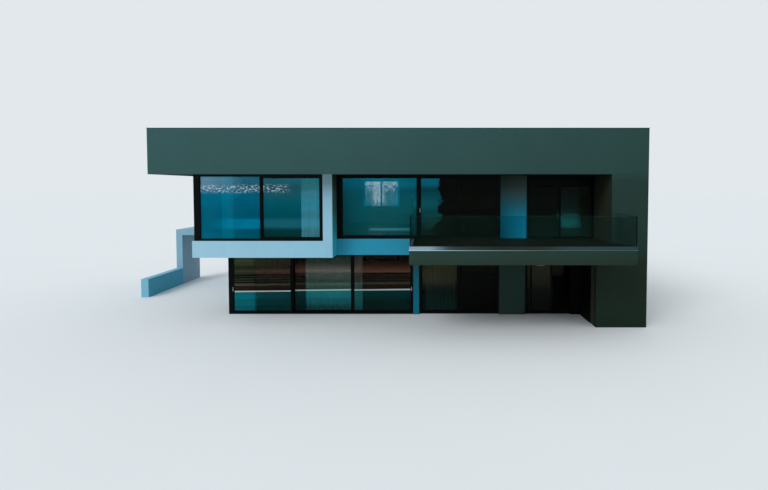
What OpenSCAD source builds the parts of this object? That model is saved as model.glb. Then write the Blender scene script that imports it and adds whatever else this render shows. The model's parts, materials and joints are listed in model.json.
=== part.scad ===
// Two-storey flat-roofed beach house. Millimetres, +Z up, the garden front faces -Y.
// Inside the modules x runs from the roof's left end, y from the roof band's front face
// and z from the ground. place() moves all of it to the middle of the footprint.

/* [Upper storey, left to right] */
// Roof overhang to the left of the window box
overhang_w = 1600; // [1400:10:2100]
// Width of the projecting window box
box_w = 5240; // [4700:10:5700]
// Width of the white strip at the right of the box's window
box_pier_w = 355; // [300:5:520]
// Width of the long recessed window
mid_w = 6380; // [5800:10:6900]
// Width of the plaster pier beside the balcony door
upper_pier_w = 1220; // [1000:10:1600]
// Width of the balcony door's recess
upper_door_w = 2800; // [2400:10:3100]
// Width of the tall dark end wall
flank_w = 1355; // [1200:5:1700]
// How far the balcony's right end reaches in front of the end wall
balcony_past = 250; // [200:10:400]

/* [Ground storey, left to right] */
// Set-back of the ground floor's left wall under the window box
ground_inset = 520; // [250:10:600]
// Width of the living room's sliding wall, corner post included
living_w = 7660; // [7200:5:8100]
// Width of the white column
column_w = 240; // [200:5:320]
// Width of the garden window
garden_w = 3310; // [2900:10:3600]
// Width of the plaster pier beside the terrace door
ground_pier_w = 1070; // [900:5:1300]
// How much wider the end wall is on the ground floor
flank_step = 545; // [400:5:750]
// Width of the dark jamb wall between terrace door and end wall
jamb_wall_w = 385; // [180:5:500]

/* [Depths] */
// Depth of the house from the roof band to the rear wall
house_d = 11600; // [10800:50:12600]
// Set-back of the long upper window
mid_recess = 850; // [600:10:1000]
// Set-back of the ground floor and of the balcony door
deep_recess = 2040; // [1700:10:2500]
// Start of the slatted cladding behind the end wall's face
cladding_y = 650; // [400:10:900]
// Projection of the balcony in front of the roof band
balcony_out = 1890; // [1600:10:2300]
// Length of the glass that turns each left corner
corner_return = 2400; // [1800:10:2700]

/* [Heights] */
// Height of the ground floor's ceiling
clear_ground = 2630; // [2450:10:2800]
// Height of the upper floor's edge band
floor_band = 505; // [420:5:600]
// Height of the room above the upper floor
clear_upper = 2610; // [2450:10:2700]
// Height of the dark roof band
fascia_h = 1715; // [1400:5:1900]
// Thickness of the roof
roof_t = 400; // [300:10:500]
// Thickness of the ground floor
ground_t = 50; // [40:5:100]
// Height of the upper windows' sill above the floor
sill_up = 120; // [100:10:180]
// Height of the shutter box over the balcony door
shutter_h = 370; // [280:10:420]

/* [Walls] */
// Thickness of the outer walls
wall_t = 250; // [220:5:300]
// Thickness of the short return wall behind the long window
return_t = 150; // [120:5:200]
// Thickness of the roof band's metal coping
coping_t = 20; // [12:1:30]
// Overhang of the coping past each face of the band
coping_over = 12; // [6:1:20]

/* [Sliding doors] */
// Spacing of the tracks
track_pitch = 60; // [56:1:70]
// Thickness of a leaf
leaf_t = 44; // [36:1:46]
// Width of a leaf's stiles and top rail
stile_w = 75; // [60:1:110]
// Height of a leaf's bottom rail
bottom_rail_h = 75; // [60:1:140]
// How far two closed leaves overlap
leaf_overlap = 25; // [20:1:60]
// Width of the outer frame's jambs
jamb_w = 30; // [24:1:60]
// Height of the outer frame's head
head_h = 60; // [40:1:80]
// Height of the track's rail
rail_h = 20; // [14:1:26]
// Thickness of the track's rail
rail_w = 8; // [6:1:10]
// Width of the steel post at each glass corner
corner_post_w = 115; // [80:5:140]
// Length of a pull bar
pull_l = 170; // [150:5:400]
// Diameter of a pull bar
pull_d = 16; // [12:1:20]
// Diameter of a pull bar's posts
pull_post_d = 11; // [8:1:14]
// Stand-off of a pull bar's axis
pull_out = 34; // [26:1:44]
// Height of the pull bars' middle
pull_z = 1040; // [900:10:1150]
// How far the open terrace door stands from its left jamb
door_open_x = 190; // [90:10:300]

/* [Upper windows] */
// Depth of the window frames
frame_d = 120; // [90:5:140]
// Width of the window frames' members
frame_w = 70; // [50:1:90]
// Width of the window box's mullion
mullion_w = 50; // [40:1:110]
// Width of the window box's corner post
box_post_w = 235; // [180:5:260]
// Width of the members of the window box's sash and of the balcony leaves' rails
sash_w = 60; // [50:1:90]
// Thickness of the sashes
sash_t = 70; // [50:1:80]
// Width of the long window's left light with its jamb
mid_left_w = 3170; // [2900:10:3400]
// Width of the long window's left jamb
mid_jamb_w = 175; // [130:5:220]
// Width of the long window's mullion
mid_mullion_w = 50; // [40:1:80]
// Width of the members of the long window's left sash
mid_sash_w = 45; // [36:1:70]
// Width of the balcony leaves' stiles
balcony_stile_w = 55; // [45:1:75]
// Distance of the upper frames behind the wall face
frame_back = 60; // [15:1:80]
// Thickness of the glass
glass_t = 24; // [20:1:30]

/* [Balustrade] */
// Height of the balustrade glass above the balcony's slab
rail_top = 1150; // [1000:10:1250]
// Thickness of the balustrade glass
rail_glass_t = 20; // [16:1:24]
// Width of the base channel
channel_w = 60; // [52:1:80]
// Height of the base channel
channel_h = 125; // [105:5:160]
// Depth of the glass in the channel
glass_seat = 90; // [70:5:100]
// Panes along the front
rail_panes = 4; // [3:1:6]
// Joint between two panes
pane_joint = 10; // [6:1:14]
// Joint between two lengths of the base channel
channel_joint = 2; // [1:1:4]
// Thickness of the drip edge under the channel
drip_t = 14; // [8:1:20]
// Projection of the drip edge
drip_out = 15; // [8:1:25]
// Thickness of the balcony's paving
paving_t = 30; // [20:1:40]

/* [Rear and side windows] */
// Windows along the rear of each storey
rear_count = 4; // [3:1:4]
// Windows along the right side of each storey
side_count = 2; // [1:1:2]
// Width of a rear or side window
small_w = 2060; // [1200:10:2200]
// Height of their sill above the floor
small_sill = 950; // [850:10:1000]
// Distance of their head below the ceiling
small_head = 60; // [50:10:300]
// Thickness of their stone sill
stone_t = 30; // [20:1:40]
// Projection of the stone sill past the wall
stone_out = 30; // [20:1:40]
// Fall of the stone sill's top
stone_fall = 6; // [2:1:10]
// Width of the rear door
rear_door_w = 1100; // [950:10:1200]
// Height of the rear door
rear_door_h = 2200; // [2050:10:2300]
// Thickness of the rear door
rear_door_t = 60; // [45:1:80]
// Width of the rear door's stiles and rails
rear_stile_w = 150; // [110:5:180]
// Depth of the rear door's panels
panel_depth = 12; // [6:1:18]
// Length of the rear door's lever
lever_l = 120; // [100:5:130]

/* [Side portico] */
// Distance of the portico wall's outer face from the window box
portico_out = 4935; // [4400:5:5500]
// Distance of the portico's front behind the roof band
portico_y = 8930; // [8400:10:9200]
// Depth of the portico
portico_d = 2100; // [1600:10:2300]
// Thickness of the portico's side wall
portico_t = 330; // [240:10:350]
// Height under the portico's roof
portico_clear = 2670; // [2640:5:2750]
// Thickness of the portico's roof
portico_roof_t = 300; // [220:10:380]
// Length of the low wall in front of the portico
low_wall_l = 3500; // [2500:50:4500]
// Height of the low wall
low_wall_h = 870; // [700:10:1000]
// Thickness of the low wall
low_wall_t = 350; // [250:10:400]

/* [Fittings] */
// Length of the lamp under the balcony
lamp_l = 270; // [200:10:350]
// Width of the lamp
lamp_w = 110; // [80:5:140]
// Height of the lamp
lamp_h = 35; // [20:1:50]
// Thickness of the lamp's back plate
lamp_plate_t = 10; // [6:1:14]
// Set-back of the lamp's cover from the edge of its back plate
lamp_step = 8; // [4:1:15]
// Distance of the lamp behind the balcony's front
lamp_back = 120; // [60:10:300]
// Distance of the lamp from the column's left face
lamp_x = 4335; // [3800:5:4800]
// Thickness of the slatted cladding on the end wall's return
cladding_t = 24; // [16:1:30]
// Pitch of the cladding's slats
slat_pitch = 120; // [80:5:160]
// Width of the groove between two slats
slat_groove = 20; // [12:1:30]

/* [Hidden] */
$fn = 32;

// Overrun of a cut past the faces that it goes through
cut = 1;
// Running gap between a leaf and the rail that carries it
run_gap = 0.3;
// Clearance of a leaf above the sill, under the head and beside the jambs
leaf_gap = 6;
// Clearance on each side of a rail in a leaf's groove
groove_gap = 8;
// Stand-off of the rear door's lever
lever_out = 45;

// Upper storey's lines from left to right
x_box = overhang_w;
x_mid = x_box + box_w;
x_pier = x_mid + mid_w;
x_door = x_pier + upper_pier_w;
x_flank = x_door + upper_door_w;
x_end = x_flank + flank_w;

// Ground storey's lines from left to right
gx_left = x_box + ground_inset;
gx_column = gx_left + living_w;
gx_garden = gx_column + column_w;
gx_pier = gx_garden + garden_w;
gx_door = gx_pier + ground_pier_w;
gx_flank = x_flank - flank_step;
gx_jamb = gx_flank - jamb_wall_w;

// Levels
z_floor = clear_ground + floor_band;
z_sill = z_floor + sill_up;
z_soffit = z_floor + clear_upper;
z_top = z_soffit + fascia_h;
z_wall_top = z_top - coping_t;
z_shutter = z_soffit - shutter_h;

// Lines from front to rear
y_deep_in = deep_recess + wall_t;
y_mid_in = mid_recess + wall_t;
y_rear_in = house_d - wall_t;
y_corner = deep_recess + corner_return;

// Balcony, which starts at the column's left face
bx0 = gx_column;
bx1 = x_flank + balcony_past;
by0 = -balcony_out;

// Distance of the glass from the channel's outer face, and width of a pane along the front
glass_off = (channel_w - rail_glass_t) / 2;
rail_pane_w = (bx1 - bx0 - 2 * glass_off - (rail_panes - 1) * pane_joint) / rail_panes;

// Sliding doors
groove_w = rail_w + 2 * groove_gap;
clear_h = clear_ground - ground_t - head_h;
leaf_h = clear_h - 2 * leaf_gap;
three_track_d = 3 * track_pitch;
two_track_d = 2 * track_pitch;
living_x = gx_left + corner_post_w;
living_y = y_deep_in - three_track_d;
living_leaf_w = leaf_width(gx_column - living_x, 3);
garden_y = y_deep_in - two_track_d;
garden_leaf_w = leaf_width(garden_w, 2);
door_w = gx_jamb - gx_door;
door_leaf_w = leaf_width(door_w, 2);

// Long upper window: its left light ends at the mullion, and two balcony leaves fill the rest
mid_mullion_x = x_mid + mid_left_w;
mid_right_x = mid_mullion_x + mid_mullion_w;
balcony_leaf_w = (x_pier - frame_w - mid_right_x) / 2;
upper_light_h = z_soffit - z_sill - 2 * frame_w;

// Rear and side windows, as tall as the lower of the two storeys lets them be
small_h = min(clear_ground, clear_upper) - small_sill - small_head;

// Middle of the whole footprint, with portico, balcony and what stands out from the walls
px0 = x_box - portico_out;
wall_past = max(coping_over, stone_out);
x_centre = (px0 + x_end + wall_past) / 2;
y_centre = (house_d + wall_past + by0 - drip_out) / 2;

// Width of each of n equal leaves in an opening of width w
function leaf_width(w, n) = (w - 2 * jamb_w - 2 * leaf_gap + (n - 1) * leaf_overlap) / n;

// Offset of leaf i from the left end of its outer frame
function leaf_x(i, w) = jamb_w + leaf_gap + i * (w - leaf_overlap);

// Left edge of small window i of n, spread evenly between two lines
function small_at(i, n, from, to, w) = from + (to - from) * (i + 0.5) / n - w / 2;

// Moves the house from its drawing lines to the middle of its footprint
module place() {
  translate([-x_centre, -y_centre, 0]) children();
}

// Box between two corners
module block(a, b) {
  translate(a) cube(b - a);
}

// Slab with a drawn plan
module plan_slab(points, z0, z1) {
  translate([0, 0, z0]) linear_extrude(z1 - z0) polygon(points);
}

// Flat ring in the XZ plane: members of width side, top and bottom round one light
module ring(w, h, d, side, top, bottom) {
  difference() {
    cube([w, d, h]);
    translate([side, -cut, bottom]) cube([w - 2 * side, d + 2 * cut, h - top - bottom]);
  }
}

// Turns what stands in the XZ plane into the YZ plane, its front facing -X
module face_left() {
  mirror([1, -1, 0]) children();
}

// Outer frame of a sliding wall with its rails and guides
module track_frame(w, tracks) {
  d = tracks * track_pitch;
  ring(w, clear_ground, d, jamb_w, head_h, ground_t);
  for (i = [0 : tracks - 1]) {
    y = (i + 0.5) * track_pitch - rail_w / 2;
    translate([jamb_w, y, ground_t]) cube([w - 2 * jamb_w, rail_w, rail_h]);
    translate([jamb_w, y, clear_ground - head_h - rail_h]) cube([w - 2 * jamb_w, rail_w, rail_h]);
  }
}

// Leaf ring with a groove over the rail and one under the guide
module leaf_ring(w, h, floor_groove, head_groove) {
  difference() {
    ring(w, h, leaf_t, stile_w, stile_w, bottom_rail_h);
    translate([-cut, (leaf_t - groove_w) / 2, -cut]) cube([w + 2 * cut, groove_w, floor_groove + cut]);
    translate([-cut, (leaf_t - groove_w) / 2, h - head_groove])
      cube([w + 2 * cut, groove_w, head_groove + cut]);
  }
}

// Leaf that slides on its rail
module sliding_leaf(w) {
  translate([0, 0, leaf_gap]) leaf_ring(w, leaf_h, rail_h + run_gap - leaf_gap, rail_h);
}

// Leaf that stands still on its rail
module fixed_leaf(w) {
  leaf_ring(w, clear_h, rail_h, rail_h);
}

// Pane in a leaf of the given height, whose bottom edge is at z
module leaf_pane(w, h, z) {
  translate([stile_w, (leaf_t - glass_t) / 2, z + bottom_rail_h])
    cube([w - 2 * stile_w, glass_t, h - bottom_rail_h - stile_w]);
}

// Upright pull bar on two posts, standing off a leaf's front face
module pull_bar() {
  translate([0, -pull_out, -pull_l / 2]) cylinder(h = pull_l, d = pull_d);
  for (side = [-1, 1])
    translate([0, 0, side * (pull_l / 2 - pull_d)])
      rotate([90, 0, 0]) cylinder(h = pull_out, d = pull_post_d);
}

// Place of a leaf on a track of a sliding wall
module on_track(x, y, track) {
  translate([x, y + (track + 0.5) * track_pitch - leaf_t / 2, ground_t]) children();
}

// Openings of the small windows: all of them, each standing in the XZ plane at its wall
module at_rear_windows() {
  for (i = [0 : rear_count - 1], z = [0, z_floor])
    if (z > 0 || i != rear_count - 1)
      translate([small_at(i, rear_count, gx_left, gx_flank, small_w), y_rear_in, z + small_sill])
        children();
}

module at_right_windows() {
  for (i = [0 : side_count - 1], z = [0, z_floor])
    translate([x_end, small_at(i, side_count, y_deep_in, y_rear_in, small_w), z + small_sill])
      rotate([0, 0, 90]) children();
}

module at_left_windows() {
  for (level = [[gx_left, 0], [x_box, z_floor]])
    translate([level[0], small_at(0, 1, y_corner, portico_y, small_w), level[1] + small_sill])
      face_left() children();
}

module small_hole() {
  translate([0, -cut, 0]) cube([small_w, wall_t + 2 * cut, small_h]);
}

module small_frame() {
  y = (wall_t - frame_d) / 2;
  translate([0, y, 0]) difference() {
    cube([small_w, frame_d, small_h]);
    for (x = [frame_w, (small_w + frame_w) / 2])
      translate([x, -cut, frame_w])
        cube([(small_w - 3 * frame_w) / 2, frame_d + 2 * cut, small_h - 2 * frame_w]);
  }
}

module small_glass() {
  for (x = [frame_w, (small_w + frame_w) / 2])
    translate([x, (wall_t - glass_t) / 2, frame_w])
      cube([(small_w - 3 * frame_w) / 2, glass_t, small_h - 2 * frame_w]);
}

// Ground floor, between the walls and up to the sliding walls' sills
module ground_floor_slab() {
  color("lightgrey") place() plan_slab([
    [gx_left + wall_t, y_deep_in], [gx_flank + wall_t, y_deep_in], [gx_flank + wall_t, wall_t],
    [x_end - wall_t, wall_t], [x_end - wall_t, y_rear_in], [gx_left + wall_t, y_rear_in]
  ], 0, ground_t);
}

module left_ground_wall() {
  color("white") place() difference() {
    block([gx_left, y_corner, 0], [gx_left + wall_t, y_rear_in, clear_ground]);
    at_left_windows() small_hole();
  }
}

module rear_ground_wall() {
  color("white") place() difference() {
    block([gx_left, y_rear_in, 0], [x_end, house_d, clear_ground]);
    at_rear_windows() small_hole();
    translate([rear_door_x(), y_rear_in - cut, -cut])
      cube([rear_door_w, wall_t + 2 * cut, rear_door_h + cut]);
  }
}

// Left edge of the rear door, in the last bay
function rear_door_x() = small_at(rear_count - 1, rear_count, gx_left, gx_flank, rear_door_w);

// Door of two sunk panels, its lever inside the reveal
module rear_door() {
  panel_h = (rear_door_h - 3 * rear_stile_w) / 2;
  color("dimgray") place() translate([rear_door_x(), house_d - wall_t / 2, 0]) {
    difference() {
      cube([rear_door_w, rear_door_t, rear_door_h]);
      for (i = [0, 1])
        translate([rear_stile_w, rear_door_t - panel_depth, rear_stile_w + i * (rear_stile_w + panel_h)])
          cube([rear_door_w - 2 * rear_stile_w, panel_depth + cut, panel_h]);
    }
    translate([rear_stile_w / 2, rear_door_t, rear_door_h / 2]) {
      rotate([-90, 0, 0]) cylinder(h = lever_out, d = pull_d);
      translate([0, lever_out, 0]) rotate([0, 90, 0]) cylinder(h = lever_l, d = pull_d);
    }
  }
}

// Dark side wall, which rises past the roof as its parapet
module right_side_wall() {
  color("darkslategray") place() difference() {
    block([x_end - wall_t, wall_t, 0], [x_end, y_rear_in, z_wall_top]);
    at_right_windows() small_hole();
  }
}

// Front of the end wall, wider below the balcony's floor
module flank_front_wall() {
  color("darkslategray") place()
    translate([0, wall_t, 0]) rotate([90, 0, 0]) linear_extrude(wall_t) polygon([
      [gx_flank, 0], [x_end, 0], [x_end, z_soffit], [x_flank, z_soffit],
      [x_flank, z_floor], [gx_flank, z_floor]
    ]);
}

module flank_return_walls() {
  color("darkslategray") place() {
    block([gx_flank, wall_t, 0], [gx_flank + wall_t, y_deep_in, z_floor]);
    block([x_flank, wall_t, z_floor], [x_flank + wall_t, y_deep_in, z_soffit]);
  }
}

module door_jamb_wall() {
  color("darkslategray") place()
    block([gx_jamb, deep_recess, 0], [gx_flank, y_deep_in, clear_ground]);
}

module ground_pier() {
  color("white") place() block([gx_pier, deep_recess, 0], [gx_door, y_deep_in, clear_ground]);
}

module white_column() {
  color("white") place()
    block([gx_column, deep_recess, 0], [gx_garden, y_deep_in, clear_ground]);
}

// Upper floor, inside the bands and walls that cover its edge
module upper_floor_slab() {
  color("silver") place() plan_slab([
    [x_box + wall_t, wall_t], [x_mid - box_pier_w, wall_t], [x_mid - box_pier_w, y_mid_in],
    [bx0, y_mid_in], [bx0, mid_recess], [x_pier, mid_recess], [x_pier, deep_recess],
    [gx_flank, deep_recess], [gx_flank, y_deep_in], [gx_flank + wall_t, y_deep_in],
    [gx_flank + wall_t, wall_t], [x_end - wall_t, wall_t], [x_end - wall_t, y_rear_in],
    [x_box + wall_t, y_rear_in]
  ], clear_ground, z_floor);
}

// White band under the window box's corner glass
module box_sill_band() {
  color("white") place() plan_slab([
    [x_box, 0], [x_mid - box_pier_w, 0], [x_mid - box_pier_w, wall_t], [x_box + wall_t, wall_t],
    [x_box + wall_t, corner_return], [x_box, corner_return]
  ], clear_ground, z_sill);
}

module box_right_pier() {
  color("white") place()
    block([x_mid - box_pier_w, 0, clear_ground], [x_mid, y_mid_in, z_soffit]);
}

module left_upper_wall() {
  color("white") place() difference() {
    block([x_box, corner_return, clear_ground], [x_box + wall_t, y_rear_in, z_soffit]);
    at_left_windows() small_hole();
  }
}

// White band under the long window, up to the balcony
module mid_sill_band() {
  color("white") place() block([x_mid, mid_recess, clear_ground], [bx0, y_mid_in, z_sill]);
}

// Sill of the same height behind the balcony, clad like its floor
module balcony_upstand() {
  color("sienna") place() block([bx0, mid_recess, z_floor], [x_pier, y_mid_in, z_sill]);
}

module mid_return_wall() {
  color("white") place()
    block([x_pier - return_t, y_mid_in, z_floor], [x_pier, y_deep_in, z_soffit]);
}

module upper_pier() {
  color("white") place() block([x_pier, deep_recess, z_floor], [x_door, y_deep_in, z_soffit]);
}

module rear_upper_wall() {
  color("white") place() difference() {
    block([x_box, y_rear_in, clear_ground], [x_end, house_d, z_soffit]);
    at_rear_windows() small_hole();
  }
}

module front_fascia() {
  color("darkslategray") place() block([0, 0, z_soffit], [x_end, wall_t, z_wall_top]);
}

module left_fascia() {
  color("darkslategray") place() block([0, wall_t, z_soffit], [wall_t, y_rear_in, z_wall_top]);
}

module rear_fascia() {
  color("darkslategray") place() block([0, y_rear_in, z_soffit], [x_end, house_d, z_wall_top]);
}

module roof_slab() {
  color("gray") place()
    block([wall_t, wall_t, z_soffit], [x_end - wall_t, y_rear_in, z_soffit + roof_t]);
}

// Metal coping in four lengths that butt at the corners
module parapet_coping() {
  out = coping_over;
  inn = wall_t + coping_over;
  color("dimgray") place() {
    for (y = [-out, house_d - wall_t - out])
      block([-out, y, z_wall_top], [x_end + out, y + inn + out, z_top]);
    for (x = [-out, x_end - wall_t - out])
      block([x, inn + run_gap, z_wall_top], [x + inn + out, house_d - inn - run_gap, z_top]);
  }
}

module balcony_slab() {
  color("darkslategray") place() plan_slab([
    [bx0, by0], [bx1, by0], [bx1, 0], [gx_flank, 0], [gx_flank, deep_recess],
    [x_pier, deep_recess], [x_pier, mid_recess], [bx0, mid_recess]
  ], clear_ground, z_floor);
}

module balcony_paving() {
  color("sienna") place() plan_slab([
    [bx0 + channel_w, by0 + channel_w], [bx1 - channel_w, by0 + channel_w], [bx1 - channel_w, 0],
    [x_flank, 0], [x_flank, deep_recess], [x_pier, deep_recess], [x_pier, mid_recess],
    [bx0 + channel_w, mid_recess]
  ], z_floor, z_floor + paving_t);
}

// Plan of a strip of width w round the balcony's three free sides, its outer edge out beyond them
module balcony_strip(w, out) {
  difference() {
    union() {
      translate([bx0 - out, by0 - out]) square([bx1 - bx0 + 2 * out, balcony_out + out]);
      translate([bx0 - out, by0 - out]) square([w, balcony_out + mid_recess + out]);
    }
    translate([bx0 - out + w, by0 - out + w]) square([bx1 - bx0 + 2 * (out - w), balcony_out + mid_recess]);
  }
}

// Base channel with the slot that clamps the glass, in one length under each pane
module balcony_channel() {
  color("silver") place() translate([0, 0, z_floor]) difference() {
    linear_extrude(channel_h) difference() {
      balcony_strip(channel_w, 0);
      for (i = [1 : rail_panes - 1])
        translate([bx0 + glass_off + i * (rail_pane_w + pane_joint) - (pane_joint + channel_joint) / 2, by0])
          square([channel_joint, channel_w]);
      translate([bx0, by0 + channel_w]) square([bx1 - bx0, channel_joint]);
    }
    translate([0, 0, channel_h - glass_seat]) linear_extrude(glass_seat + cut)
      balcony_strip(rail_glass_t, -glass_off);
  }
}

module balcony_drip_edge() {
  color("white") place() translate([0, 0, z_floor - drip_t]) linear_extrude(drip_t) difference() {
    balcony_strip(drip_out, drip_out);
    translate([gx_flank, -cut]) square([x_end, wall_t]);
  }
}

// Frameless panes standing in the channel
module balustrade_glass() {
  x0 = bx0 + glass_off;
  x1 = bx1 - glass_off;
  y0 = by0 + glass_off;
  y1 = y0 + rail_glass_t + pane_joint;
  z0 = z_floor + channel_h - glass_seat;
  z1 = z_floor + rail_top;
  color("lightcyan", 0.4) place() {
    for (i = [0 : rail_panes - 1])
      translate([x0 + i * (rail_pane_w + pane_joint), y0, z0]) cube([rail_pane_w, rail_glass_t, z1 - z0]);
    block([x0, y1, z0], [x0 + rail_glass_t, mid_recess, z1]);
    block([x1 - rail_glass_t, y1, z0], [x1, 0, z1]);
  }
}

// Corner window of the box: front lights, post and side light
module box_window_frame() {
  x0 = x_box + frame_back + box_post_w;
  w = x_mid - box_pier_w - x0;
  y1 = frame_back + box_post_w;
  color("black") place() {
    block([x_box + frame_back, frame_back, z_sill], [x0, y1, z_soffit]);
    translate([x0, frame_back, z_sill]) difference() {
      cube([w, frame_d, z_soffit - z_sill]);
      for (x = [0, box_light_w() + mullion_w])
        translate([x, -cut, frame_w]) cube([box_light_w(), frame_d + 2 * cut, upper_light_h]);
    }
    translate([x_box + frame_back, y1, z_sill]) face_left() difference() {
      cube([corner_return - y1, frame_d, z_soffit - z_sill]);
      translate([0, -cut, frame_w])
        cube([corner_return - y1 - frame_w, frame_d + 2 * cut, upper_light_h]);
    }
  }
}

// Width of the box's fixed left light, half of what the post, mullion and frame leave
function box_light_w() = (box_w - box_pier_w - frame_back - box_post_w - mullion_w - frame_w) / 2;

module box_window_sash() {
  x0 = x_box + frame_back + box_post_w + box_light_w() + mullion_w;
  color("black") place()
    translate([x0, frame_back + (frame_d - sash_t) / 2, z_sill + frame_w])
      ring(box_light_w(), upper_light_h, sash_t, sash_w, sash_w, sash_w);
}

module box_window_glass() {
  x0 = x_box + frame_back + box_post_w;
  y = frame_back + (frame_d - glass_t) / 2;
  y1 = frame_back + box_post_w;
  color("teal", 0.5) place() {
    translate([x0, y, z_sill + frame_w]) cube([box_light_w(), glass_t, upper_light_h]);
    translate([x0 + box_light_w() + mullion_w + sash_w, y, z_sill + frame_w + sash_w])
      cube([box_light_w() - 2 * sash_w, glass_t, upper_light_h - 2 * sash_w]);
    translate([x_box + frame_back + (frame_d - glass_t) / 2, y1, z_sill + frame_w])
      cube([glass_t, corner_return - y1 - frame_w, upper_light_h]);
  }
}

// Long window: one light beside a pair of balcony leaves
module mid_window_frame() {
  y = mid_recess + frame_back;
  z = z_sill + frame_w;
  color("black") place() difference() {
    block([x_mid, y, z_sill], [x_pier, y + frame_d, z_soffit]);
    block([x_mid + mid_jamb_w, y - cut, z], [mid_mullion_x, y + frame_d + cut, z + upper_light_h]);
    block([mid_right_x, y - cut, z], [x_pier - frame_w, y + frame_d + cut, z + upper_light_h]);
  }
}

// Left sash and the two balcony leaves with their pull bar, in one plane
module mid_window_sashes() {
  w = mid_left_w - mid_jamb_w;
  color("black") place()
    translate([0, mid_recess + frame_back + (frame_d - sash_t) / 2, z_sill + frame_w]) {
      translate([x_mid + mid_jamb_w, 0, 0])
        ring(w, upper_light_h, sash_t, mid_sash_w, mid_sash_w, mid_sash_w);
      for (i = [0, 1])
        translate([mid_right_x + i * balcony_leaf_w, 0, 0])
          ring(balcony_leaf_w, upper_light_h, sash_t, balcony_stile_w, sash_w, sash_w);
      translate([mid_right_x + balcony_stile_w / 2, 0, pull_z]) pull_bar();
    }
}

module mid_window_glass() {
  w = mid_left_w - mid_jamb_w;
  color("teal", 0.5) place()
    translate([0, mid_recess + frame_back + (frame_d - glass_t) / 2, z_sill + frame_w]) {
      translate([x_mid + mid_jamb_w + mid_sash_w, 0, mid_sash_w])
        cube([w - 2 * mid_sash_w, glass_t, upper_light_h - 2 * mid_sash_w]);
      for (i = [0, 1])
        translate([mid_right_x + i * balcony_leaf_w + balcony_stile_w, 0, sash_w])
          cube([balcony_leaf_w - 2 * balcony_stile_w, glass_t, upper_light_h - 2 * sash_w]);
    }
}

// Balcony door: two equal lights with one stile between them
module upper_door_frame() {
  color("black") place() translate([x_door, y_deep_in - frame_d, z_floor]) {
    difference() {
      cube([upper_door_w, frame_d, z_shutter - z_floor]);
      at_door_lights() translate([0, -cut, 0])
        cube([door_light_w(), frame_d + 2 * cut, z_shutter - z_floor - 2 * stile_w]);
    }
    translate([upper_door_w / 2, 0, pull_z]) pull_bar();
  }
}

module upper_door_glass() {
  color("teal", 0.5) place()
    translate([x_door, y_deep_in - (frame_d + glass_t) / 2, z_floor])
      at_door_lights() cube([door_light_w(), glass_t, z_shutter - z_floor - 2 * stile_w]);
}

function door_light_w() = (upper_door_w - 3 * stile_w) / 2;

// Places of the balcony door's lights, from its lower left corner
module at_door_lights() {
  for (x = [stile_w, 2 * stile_w + door_light_w()]) translate([x, 0, stile_w]) children();
}

module shutter_box() {
  color("black") place()
    block([x_door, deep_recess + frame_back, z_shutter], [x_flank, y_deep_in, z_soffit]);
}

// Living room's sliding wall, its corner post and the fixed light round the corner
module living_frame() {
  color("black") place() {
    block([gx_left, living_y, 0], [living_x, y_deep_in, clear_ground]);
    translate([living_x, living_y, 0]) track_frame(gx_column - living_x, 3);
    translate([gx_left, y_deep_in, 0]) face_left()
      ring(y_corner - y_deep_in, clear_ground, frame_d, frame_w, frame_w, ground_t);
  }
}

// The left leaf runs on the front track, the right one on the middle track
module living_left_leaf() {
  color("black") place() on_track(living_x + leaf_x(0, living_leaf_w), living_y, 0) {
    sliding_leaf(living_leaf_w);
    translate([stile_w / 2, 0, pull_z - ground_t]) pull_bar();
  }
}

module living_left_glass() {
  color("teal", 0.5) place() on_track(living_x + leaf_x(0, living_leaf_w), living_y, 0)
    leaf_pane(living_leaf_w, leaf_h, leaf_gap);
}

module living_right_leaf() {
  color("black") place() on_track(living_x + leaf_x(2, living_leaf_w), living_y, 1) {
    sliding_leaf(living_leaf_w);
    translate([living_leaf_w - stile_w / 2, 0, pull_z - ground_t]) pull_bar();
  }
}

module living_right_glass() {
  color("teal", 0.5) place() on_track(living_x + leaf_x(2, living_leaf_w), living_y, 1)
    leaf_pane(living_leaf_w, leaf_h, leaf_gap);
}

module garden_window_frame() {
  color("black") place() translate([gx_garden, garden_y, 0]) track_frame(garden_w, 2);
}

module garden_leaf() {
  color("black") place() on_track(gx_garden + leaf_x(1, garden_leaf_w), garden_y, 0) {
    sliding_leaf(garden_leaf_w);
    translate([garden_leaf_w - stile_w / 2, 0, pull_z - ground_t]) pull_bar();
  }
}

module garden_leaf_glass() {
  color("teal", 0.5) place() on_track(gx_garden + leaf_x(1, garden_leaf_w), garden_y, 0)
    leaf_pane(garden_leaf_w, leaf_h, leaf_gap);
}

module terrace_door_frame() {
  color("black") place() translate([gx_door, garden_y, 0]) track_frame(door_w, 2);
}

// Stands open, as far left as its pull bar lets it go
module terrace_door_leaf() {
  color("black") place() on_track(gx_door + leaf_x(0, door_leaf_w) + door_open_x, garden_y, 0) {
    sliding_leaf(door_leaf_w);
    translate([door_leaf_w - stile_w / 2, 0, pull_z - ground_t]) pull_bar();
  }
}

module terrace_door_glass() {
  color("teal", 0.5) place()
    on_track(gx_door + leaf_x(0, door_leaf_w) + door_open_x, garden_y, 0)
      leaf_pane(door_leaf_w, leaf_h, leaf_gap);
}

// Leaves that stand still: living room's middle, garden window's left, terrace door's left
module at_fixed_leaves() {
  on_track(living_x + leaf_x(1, living_leaf_w), living_y, 2) children(0);
  on_track(gx_garden + leaf_x(0, garden_leaf_w), garden_y, 1) children(1);
  on_track(gx_door + leaf_x(0, door_leaf_w), garden_y, 1) children(2);
}

module ground_fixed_leaves() {
  color("black") place() at_fixed_leaves() {
    fixed_leaf(living_leaf_w);
    fixed_leaf(garden_leaf_w);
    fixed_leaf(door_leaf_w);
  }
}

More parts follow.
